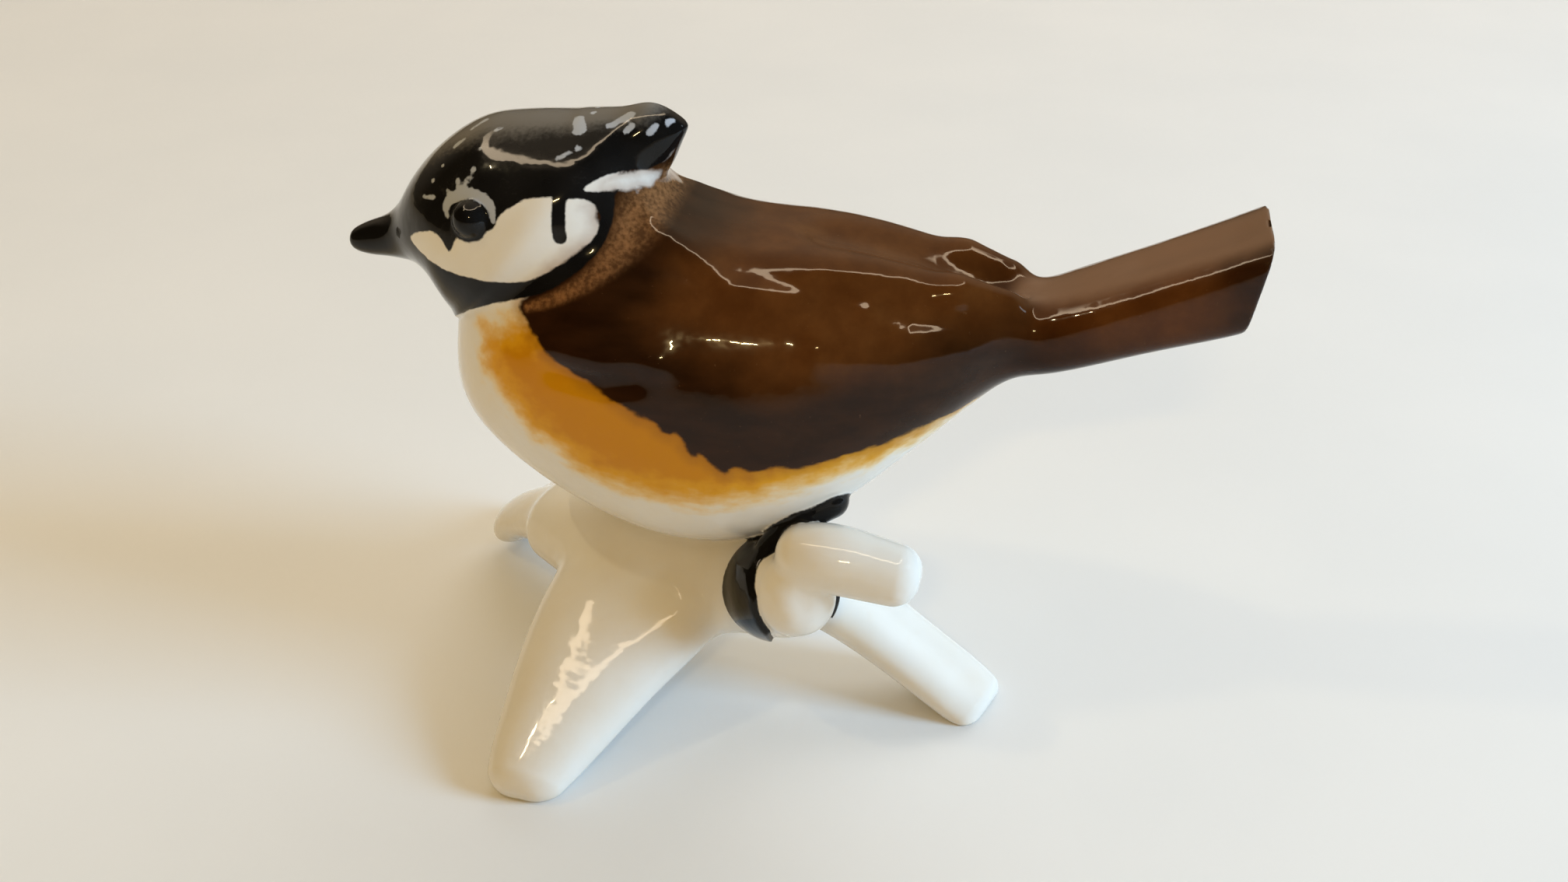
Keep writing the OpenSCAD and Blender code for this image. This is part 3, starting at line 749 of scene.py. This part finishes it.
def make(name, skin, material, shift):
    """Builds one piece of the skin as an object, which takes the place of its CAD node."""
    outer = skin.t[skin.label == skin.names.index(name)]
    backs = [f for n, f in skin.backs if n == name]
    faces = np.concatenate([outer] + backs)
    lids, middle = caps(faces, skin.p)
    points = np.concatenate([skin.p, middle])
    faces = np.concatenate([faces, lids])
    used, local = np.unique(faces, return_inverse=True)
    local = local.reshape(-1, 3)
    place = points[used]
    mesh = bpy.data.meshes.new(name + "_skin")
    mesh.from_pydata(((place + shift) * MM).tolist(), [], local.tolist())
    mesh.validate(clean_customdata=False)
    smooth = np.arange(len(faces)) < len(outer)
    mesh.polygons.foreach_set("use_smooth", smooth)
    for key, v in paint(place, shape(place)).items():
        mesh.attributes.new(key, "FLOAT", "POINT").data.foreach_set("value", v.astype(np.float32))
    flat = unit(np.cross(place[local[:, 1]] - place[local[:, 0]], place[local[:, 2]] - place[local[:, 0]]))
    normals = np.repeat(flat[:, None], 3, 1)
    normals[:len(outer)] = skin.n[outer]
    mesh.normals_split_custom_set(normals.reshape(-1, 3).tolist())
    mesh.materials.append(material)
    piece = bpy.data.objects.new("glazed_" + name, mesh)
    bpy.context.scene.collection.objects.link(piece)
    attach(piece, "root")
    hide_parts(name)
    return piece


# ==== Glaze ====
class Nodes:
    """Short names for the nodes of a material or a world."""

    def __init__(self, block):
        block.use_nodes = True
        self.tree = block.node_tree
        self.shader = self.tree.nodes.get("Principled BSDF")

    def node(self, kind, links=(), **values):
        n = self.tree.nodes.new(kind)
        for key, value in values.items():
            setattr(n, key, value)
        for socket, value in dict(links).items():
            self.put(n.inputs[socket], value)
        return n

    def put(self, socket, value):
        if isinstance(value, bpy.types.NodeSocket):
            self.tree.links.new(value, socket)
        elif isinstance(value, tuple) and len(value) == 3 and socket.type == "RGBA":
            socket.default_value = (*value, 1)
        else:
            socket.default_value = value

    def field(self, name):
        return self.node("ShaderNodeAttribute", attribute_name=name).outputs["Fac"]

    def math(self, kind, a, b=0.0, c=0.0):
        return self.node("ShaderNodeMath", {0: a, 1: b, 2: c}, operation=kind).outputs[0]

    def add(self, a, b):
        return self.math("ADD", a, b)

    def times(self, a, b):
        return self.math("MULTIPLY", a, b)

    def step(self, value, low, high, to_low=0.0, to_high=1.0):
        links = {"Value": value, "From Min": low, "From Max": high, "To Min": to_low, "To Max": to_high}
        return self.node("ShaderNodeMapRange", links, interpolation_type="SMOOTHSTEP").outputs[0]

    def noise(self, size, detail=2.0, squash=None, rough=0.5):
        """Noise from about -1 to 1 whose lumps are about size millimetres across."""
        at = self.node("ShaderNodeTexCoord").outputs["Object"]
        if squash:
            links = {"Vector": at, "Scale": squash[0], "Rotation": squash[1]}
            at = self.node("ShaderNodeMapping", links).outputs[0]
        n = self.node("ShaderNodeTexNoise", {"Vector": at, "Scale": 1 / (size * MM), "Detail": detail,
                                             "Roughness": rough})
        return self.math("MULTIPLY_ADD", n.outputs["Fac"], 4.0, -2.0)

    def mix(self, share, a, b):
        n = self.node("ShaderNodeMix", data_type="RGBA")
        for socket, value in zip((n.inputs["Factor"], n.inputs[6], n.inputs[7]), (share, a, b)):
            self.put(socket, value)
        return n.outputs[2]


def painted_glaze():
    material = bpy.data.materials.new("painted_glaze")
    m = Nodes(material)
    black, brown, white = m.field("black_mm"), m.field("brown_mm"), m.field("white_mm")
    orange, golden, top_sheen = m.field("orange_mm"), m.field("golden"), m.field("top_sheen")
    soft = m.noise(7.0, 3.0)
    fine = m.noise(0.55, 3.0)
    lumps = m.noise(2.2, 3.0)
    strokes = m.noise(2.6, 4.0, squash=((0.35, 1.0, 1.0), (0.0, 0.6, 0.0)))
    # Bare porcelain under clear glaze: warm white, a little yellower where the glaze pools
    body = m.mix(m.step(soft, -1.2, 1.4), (0.82, 0.795, 0.735), (0.79, 0.75, 0.67))
    body = m.mix(m.times(m.step(lumps, 0.2, 1.6), 0.25), body, (0.78, 0.70, 0.58))
    # Orange flank, laid on in wet strokes that thin out towards the breast and the belly
    wet = m.add(orange, m.add(m.times(strokes, 1.5), m.times(lumps, 0.7)))
    colour = m.mix(m.step(wet, -0.6, 2.4, 0.0, 0.8), body, (0.83, 0.60, 0.23))
    colour = m.mix(m.step(wet, 0.7, 4.2), colour, (0.71, 0.345, 0.012))
    thick = m.step(m.add(wet, m.times(lumps, 0.6)), 3.6, 7.0)
    colour = m.mix(m.times(thick, 0.7), colour, (0.54, 0.205, 0.002))
    # Brown back, wings and tail: chestnut above, chocolate below, speckled; the paler chestnut on top is
    # partly painted sheen from the ceiling's reflection
    edge = m.add(brown, m.add(m.times(strokes, 0.45), m.times(lumps, 0.22)))
    clouds = m.step(m.noise(5.0, 4.0, rough=0.6), -1.0, 1.2)
    chestnut_and_sheen = m.mix(clouds, (0.074, 0.023, 0.0045), (0.115, 0.040, 0.009))
    dark = m.mix(m.step(strokes, -1.0, 1.0), (0.016, 0.0055, 0.0015), (0.030, 0.0105, 0.003))
    tone = m.add(brown, m.times(soft, 1.6))
    coat = m.mix(m.step(tone, 6.5, 16.0), dark, chestnut_and_sheen)
    mottled = m.step(m.add(fine, m.times(lumps, 0.6)), -1.2, 1.4, 0.25, 0.95)
    coat = m.mix(m.times(m.step(golden, 0.0, 0.8), mottled), coat, (0.27, 0.125, 0.048))
    # Painted sheen: the brown along the tail's top is made a paler taupe for the light it catches from above
    pale = m.step(m.add(top_sheen, m.times(soft, 0.1)), 0.05, 0.6)
    coat = m.mix(m.times(pale, 0.75), coat, (0.25, 0.143, 0.085))
    coat = m.mix(m.times(m.step(fine, 0.75, 1.25), 0.3), coat, (0.20, 0.105, 0.05))
    colour = m.mix(m.step(edge, -2.2, 0.3, 0.0, 0.45), colour, (0.22, 0.075, 0.012))
    colour = m.mix(m.step(edge, -0.30, 0.35), colour, coat)
    # Black cap, collar, beak and feet, with sharp brushed edges
    ink = m.add(black, m.add(m.times(m.noise(1.4, 2.0), 0.10), m.times(fine, 0.04)))
    pitch = m.mix(m.step(soft, -1.0, 1.0), (0.005, 0.0047, 0.0044), (0.010, 0.0092, 0.0085))
    # Painted reflection: the black crown is turned grey along its top for the room it mirrors
    pitch = m.mix(m.step(m.add(top_sheen, m.add(m.times(soft, 0.1), m.times(fine, 0.08))), 0.05, 0.6), pitch,
                  (0.15, 0.14, 0.125))
    colour = m.mix(m.step(ink, -0.14, 0.14), colour, pitch)
    # White crescent and flecks, painted a blue-grey that stands in for the shade they lie in rather than the
    # body's white
    chalk_in_shade = m.add(white, m.times(m.noise(0.9, 2.0), 0.16))
    colour = m.mix(m.step(chalk_in_shade, -0.12, 0.14, 0.0, 0.9), colour, (0.46, 0.49, 0.54))
    m.put(m.shader.inputs["Base Color"], colour)
    m.put(m.shader.inputs["Roughness"], m.step(m.noise(1.5, 3.0), -1.5, 1.5, 0.10, 0.17))
    m.shader.inputs["IOR"].default_value = 1.5
    m.shader.inputs["Specular IOR Level"].default_value = 0.05
    m.shader.inputs["Coat Weight"].default_value = 0.6
    m.shader.inputs["Coat Roughness"].default_value = 0.02
    m.shader.inputs["Coat IOR"].default_value = 1.37
    wave = m.node("ShaderNodeBump", {"Height": m.noise(3.5, 2.0), "Strength": 0.05, "Distance": 0.0004})
    m.put(m.shader.inputs["Normal"], wave.outputs[0])
    m.put(m.shader.inputs["Coat Normal"], wave.outputs[0])
    return material


points, triangles = skin(SPACING)
figure = Skin(points, triangles, gradient(points))


def beyond(name, others):
    return lambda k: k.part[name] - np.minimum.reduce([k.part[o] for o in others])


def one_sided(side, field):
    return lambda k: np.where(k.p[:, 1] * side > 0, field(k), 1)


def off_bird(k):
    feet = np.minimum(k.part["left_foot"], k.part["right_foot"])
    return np.minimum(k.part["branch"], feet) - k.part["bird"]


def behind_seam(k):
    """Upright plane across the branch, where the back root begins."""
    return 36 + k.p[:, 0] * 0.77 - k.p[:, 1] * 0.64


# Middle and half length of the wings' ovals, in sections along the bird, and the same in degrees round it
WING_ALONG, WING_ROUND = (15.5, 3.5), (64, 42)


def wing(k):
    """Oval on the torso's side."""
    along, round_it = k.part["s"] - WING_ALONG[0], k.part["angle"] - WING_ROUND[0]
    return np.hypot(along / WING_ALONG[1], round_it / WING_ROUND[1]) - 1


def gripping(name):
    return lambda k: k.part[name] - np.minimum(k.part["branch"], k.part["bird"]) + 0.1


# The skin's pieces, each cut out of the ones before it
figure.cut(off_bird, ["torso_shell"], "trunk_shell")
figure.cut(behind_seam, ["trunk_shell"], "back_root")
thick_limbs = ["trunk_shell", "front_root", "right_root", "grip_stub"]
for name in ("front_root", "right_root", "grip_stub", "twig"):
    figure.cut(beyond(name, [o for o in LIMBS if o != name]), thick_limbs, name)
for name in ("left_foot", "right_foot"):
    figure.cut(gripping(name), ["torso_shell"] + list(LIMBS), name)
figure.cut(lambda k: k.part["s"] - NECK, ["torso_shell"], "head_shell")
figure.cut(lambda k: TAIL_ROOT - k.part["s"], ["torso_shell"], "tail")
figure.cut(lambda k: k.part["s"] - BEAK_ROOT, ["head_shell"], "beak")
figure.cut(beyond("crest", ["head"]), ["head_shell", "torso_shell"], "crest")
for side, name in ((-1, "left"), (1, "right")):
    figure.cut(one_sided(side, beyond("eye", ["head"])), ["head_shell"], name + "_eye")
    figure.cut(one_sided(side, wing), ["torso_shell"], name + "_wing")
figure.join_islands()
# Pieces that lie in a recess: their host and how deep
INLAYS = {"left_wing": ("torso_shell", 1.6), "right_wing": ("torso_shell", 1.6),
          "left_eye": ("head_shell", 1.0), "right_eye": ("head_shell", 1.0),
          "left_foot": ("grip_stub", 0.7), "right_foot": ("trunk_shell", 0.7)}
for name, (host, deep) in INLAYS.items():
    inlay(figure, name, host, deep)

beak_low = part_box("beak")[0]
torso_low, torso_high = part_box("torso_shell")
SHIFT = np.array([beak_low[0] / MM - BIRD[0][0], (torso_low[1] + torso_high[1]) / 2 / MM, 0.0])
glaze = painted_glaze()
for name in figure.names:
    piece = make(name, figure, glaze, SHIFT)

# ==== Table top, light and camera ====
floor_mesh = bpy.data.meshes.new("table_top")
floor_mesh.from_pydata([(-3, -3, 0), (3, -3, 0), (3, 3, 0), (-3, 3, 0)], [], [(0, 1, 2, 3)])
floor = bpy.data.objects.new("table_top", floor_mesh)
bpy.context.scene.collection.objects.link(floor)
table_material = bpy.data.materials.new("table_top")
table = Nodes(table_material)
cloudy = table.step(table.noise(60.0, 3.0), -1, 1)
table.put(table.shader.inputs["Base Color"], table.mix(cloudy, (0.80, 0.80, 0.79), (0.83, 0.825, 0.81)))
table.shader.inputs["Roughness"].default_value = 0.55
floor_mesh.materials.append(table_material)


def aim(obj, place, target):
    obj.location = Vector(place)
    obj.rotation_euler = (Vector(target) - Vector(place)).to_track_quat("-Z", "Y").to_euler()
    bpy.context.scene.collection.objects.link(obj)


# Lights: place, target, size, watts, colour, and whether reflections show them
LIGHTS = {
    "window_light": ((0.79, -0.07, 0.37), (0, 0, 0.04), (0.30, 0.36), 7.9, (0.40, 0.68, 1.0), False),
    "wall_light": ((0.1, 1.1, 0.8), (0, 0.55, 0), (1.4, 0.5), 7.0, (0.94, 0.96, 0.98), False),
    "window_gleam": ((0.80, 0.10, 0.50), (0, 0, 0.06), (0.10, 0.20), 0.35, (0.72, 0.88, 1.0), True),
    "lamp_light": ((0.02, -0.75, 0.55), (0, 0, 0.04), (0.075, 0.0135), 1.05, (1.0, 0.74, 0.34), True),
    "spark_light": ((-0.40, -0.13, 0.66), (0, 0, 0.04), (0.05, 0.008), 0.4, (1.0, 0.82, 0.5), True),
}
for name, (place, target, size, watts, colour, mirrored) in LIGHTS.items():
    light = bpy.data.lights.new(name, "AREA")
    light.shape = "RECTANGLE"
    light.size, light.size_y = size
    light.energy = watts
    light.color = colour
    lamp = bpy.data.objects.new(name, light)
    lamp.visible_glossy = mirrored
    aim(lamp, place, target)
world = bpy.data.worlds.new("room")
bpy.context.scene.world = world
room = Nodes(world)
ambient = room.tree.nodes["Background"]
facing = room.node("ShaderNodeSeparateXYZ", {0: room.node("ShaderNodeTexCoord").outputs["Generated"]})
side, depth, height = facing.outputs
tint = room.mix(room.step(depth, -0.6, 0.6), (0.36, 0.225, 0.072), (0.59, 0.51, 0.36))
room.put(ambient.inputs["Color"], tint)
# Reflections show a dim room with a paler ceiling and far wall behind a thin bright edge
rise = room.add(height, room.times(room.add(depth, room.times(side, -0.4)), 0.25))
near = room.step(depth, 0.1, 0.5, 1.0, 0.0)
strip = room.times(room.times(room.step(rise, 0.885, 0.895), room.step(rise, 0.93, 0.915)), near)
beyond_edge = room.math("MAXIMUM", room.step(rise, 0.89, 0.93), room.step(depth, 0.1, 0.6))
pale = room.times(beyond_edge, room.step(height, -0.1, 0.9, 0.04, 0.68))
level = room.add(room.add(pale, 0.02), room.times(strip, 15.5))
mirror = room.node("ShaderNodeBackground", {"Color": (1.0, 0.79, 0.55), "Strength": level})
which = room.node("ShaderNodeLightPath").outputs["Is Glossy Ray"]
both = room.node("ShaderNodeMixShader", {0: which, 1: ambient.outputs[0], 2: mirror.outputs[0]})
room.tree.links.new(both.outputs[0], room.tree.nodes["World Output"].inputs["Surface"])
bpy.context.scene.view_settings.view_transform = "Standard"

# The camera looks down at the bird's left side from a little behind the middle
CAMERA_TURN, CAMERA_DOWN, FIELD_OF_VIEW = 10, 30, 50
CAMERA_RIGHT, CAMERA_BACK, CAMERA_HIGH = -0.0015, 0.2, 0.151
camera_data = bpy.data.cameras.new("camera")
camera_data.sensor_width = 36
camera_data.lens = camera_data.sensor_width / 2 / math.tan(math.radians(FIELD_OF_VIEW / 2))
camera = bpy.data.objects.new("camera", camera_data)
turn, down = math.radians(CAMERA_TURN), math.radians(CAMERA_DOWN)
level_ahead = Vector((-math.sin(turn), math.cos(turn), 0))
right = Vector((math.cos(turn), math.sin(turn), 0))
camera_at = right * CAMERA_RIGHT - level_ahead * CAMERA_BACK + Vector((0, 0, CAMERA_HIGH))
camera_at += Vector((SHIFT[0], SHIFT[1], 0)) * MM
aim(camera, camera_at, camera_at + level_ahead * math.cos(down) - Vector((0, 0, math.sin(down))))
bpy.context.scene.camera = camera
